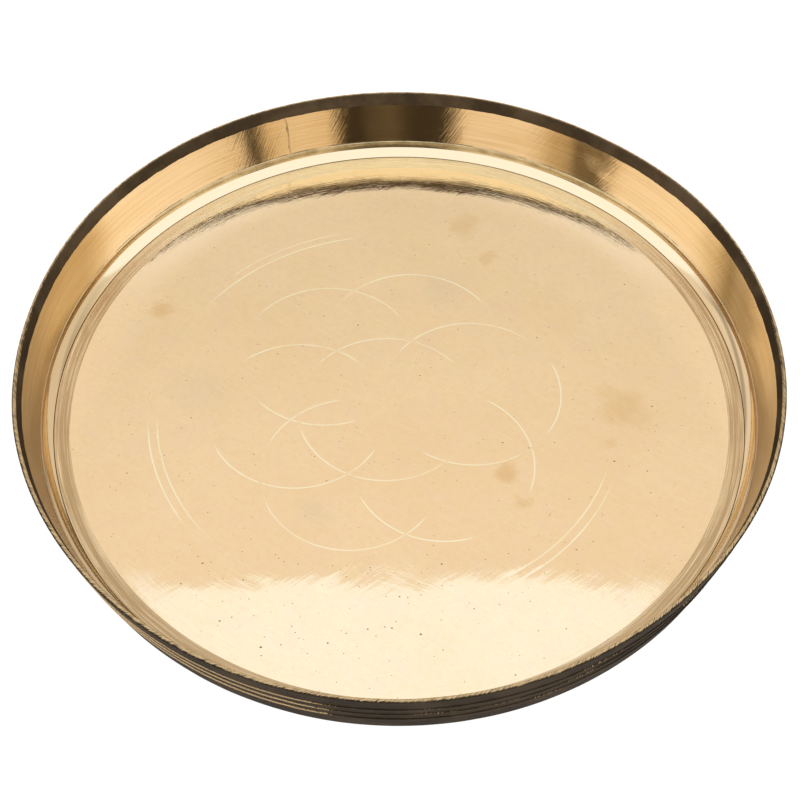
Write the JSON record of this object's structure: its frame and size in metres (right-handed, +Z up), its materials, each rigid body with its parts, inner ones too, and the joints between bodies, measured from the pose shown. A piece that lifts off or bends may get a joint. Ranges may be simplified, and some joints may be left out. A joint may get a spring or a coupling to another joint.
{
  "type": "round serving tray",
  "caption": "Shallow round brass tray with a flared wall, folded rim, turned ridges outside and a scribed flower pattern on its polished floor.",
  "frame": {"origin": "centre of the underside, on the tray's axis", "axes": "+Z up along the tray's axis; +Y away from the viewer; +X to the viewer's right"},
  "size_m": [0.5596, 0.5597, 0.062],
  "materials": {
    "polished_brass": "polished",
    "turned_brass": "turned and polished inside, dark patina outside",
    "patinated_brass": "dark patina, worn bright along the lip",
    "braze": "filed hard solder"
  },
  "bodies": {
    "root": {"floor_pan": "polished_brass", "wall_band": "turned_brass", "wall_joint": "braze", "rim_strip": "patinated_brass", "rim_joint": "braze", "corner_braze": "braze"}
  },
  "joints": []
}
